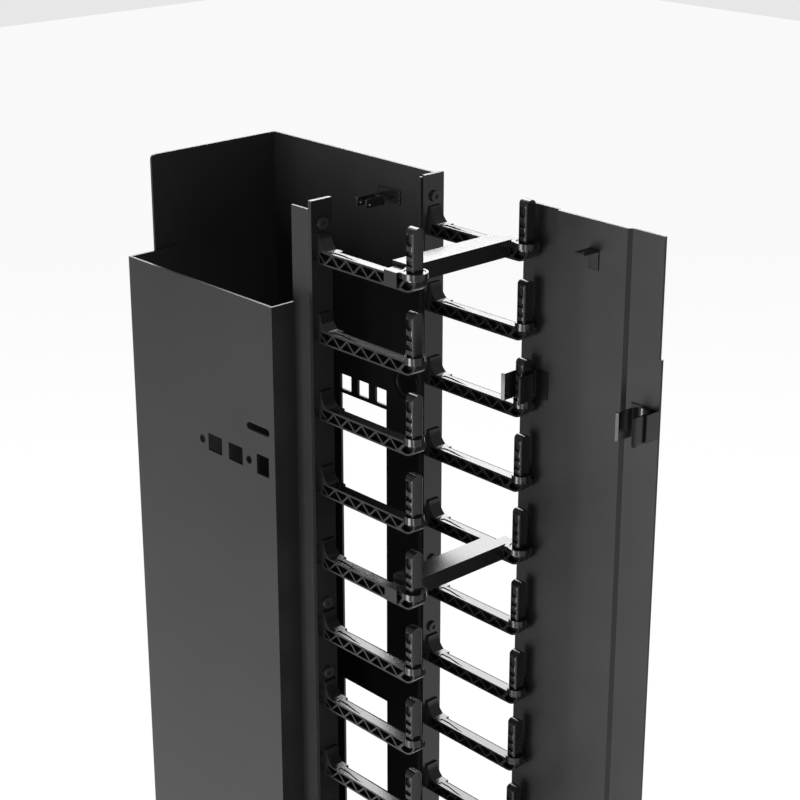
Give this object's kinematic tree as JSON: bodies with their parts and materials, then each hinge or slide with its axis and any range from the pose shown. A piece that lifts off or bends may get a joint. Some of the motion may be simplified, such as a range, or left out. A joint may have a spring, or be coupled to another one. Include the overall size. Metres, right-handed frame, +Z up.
{
  "type": "vertical cable manager",
  "caption": "Tall black steel rack cable trough with two combs of plastic fingers, lift-off retainer bars and a full-height door that snaps onto the finger posts.",
  "frame": {"origin": "bottom end of the trough, at the rear face of the back wall, midway between the outer faces of the two side walls", "axes": "+Z up along the trough, -Y to the front where the fingers are, +X towards the wall that the open door continues"},
  "size_m": [0.1157, 0.3077, 1.0681],
  "materials": {
    "steel": "semi-gloss black powder coat",
    "bracket": "semi-gloss black powder coat",
    "plastic": "moulded black plastic, semi-gloss",
    "screws": "black zinc",
    "rivets": "black"
  },
  "bodies": {
    "trough": {"back_and_right_wall": "steel", "left_wall": "steel", "left_comb_1": "plastic", "left_comb_2": "plastic", "left_comb_3": "plastic", "left_comb_4": "plastic", "right_comb_1": "plastic", "right_comb_2": "plastic", "right_comb_3": "plastic", "right_comb_4": "plastic", "comb_screws": "screws", "seam_rivets_rear": "rivets", "wall_grommet": "plastic", "tie_bracket": "bracket", "tie_bracket_rivets": "rivets"},
    "door": {"door_panel": "steel", "hinge_clip_top": "plastic", "hinge_clip_middle": "plastic", "hinge_clip_bottom": "plastic", "catch_clip_top": "plastic", "catch_clip_middle": "plastic", "catch_clip_bottom": "plastic", "door_clip_rivets": "rivets", "door_tab": "bracket", "door_tab_rivets": "rivets"},
    "bar_1": {"retainer_1": "plastic"},
    "bar_2": {"retainer_2": "plastic"},
    "bar_3": {"retainer_3": "plastic"},
    "bar_4": {"retainer_4": "plastic"},
    "bar_5": {"retainer_5": "plastic"},
    "bar_6": {"retainer_6": "plastic"}
  },
  "joints": [
    {"name": "door_hinge", "type": "hinge", "parent": "trough", "child": "door", "pos_m": [0.0492, -0.2192, 0.5334], "axis": [0, 0, 1], "range_deg": [-90, 0]},
    {"name": "bar_1_lift", "type": "slide", "parent": "trough", "child": "bar_1", "axis": [0, 0, 1], "range_m": [0, 0.026]},
    {"name": "bar_2_lift", "type": "slide", "parent": "trough", "child": "bar_2", "axis": [0, 0, 1], "range_m": [0, 0.026]},
    {"name": "bar_3_lift", "type": "slide", "parent": "trough", "child": "bar_3", "axis": [0, 0, 1], "range_m": [0, 0.026]},
    {"name": "bar_4_lift", "type": "slide", "parent": "trough", "child": "bar_4", "axis": [0, 0, 1], "range_m": [0, 0.026]},
    {"name": "bar_5_lift", "type": "slide", "parent": "trough", "child": "bar_5", "axis": [0, 0, 1], "range_m": [0, 0.026]},
    {"name": "bar_6_lift", "type": "slide", "parent": "trough", "child": "bar_6", "axis": [0, 0, 1], "range_m": [0, 0.026]}
  ]
}
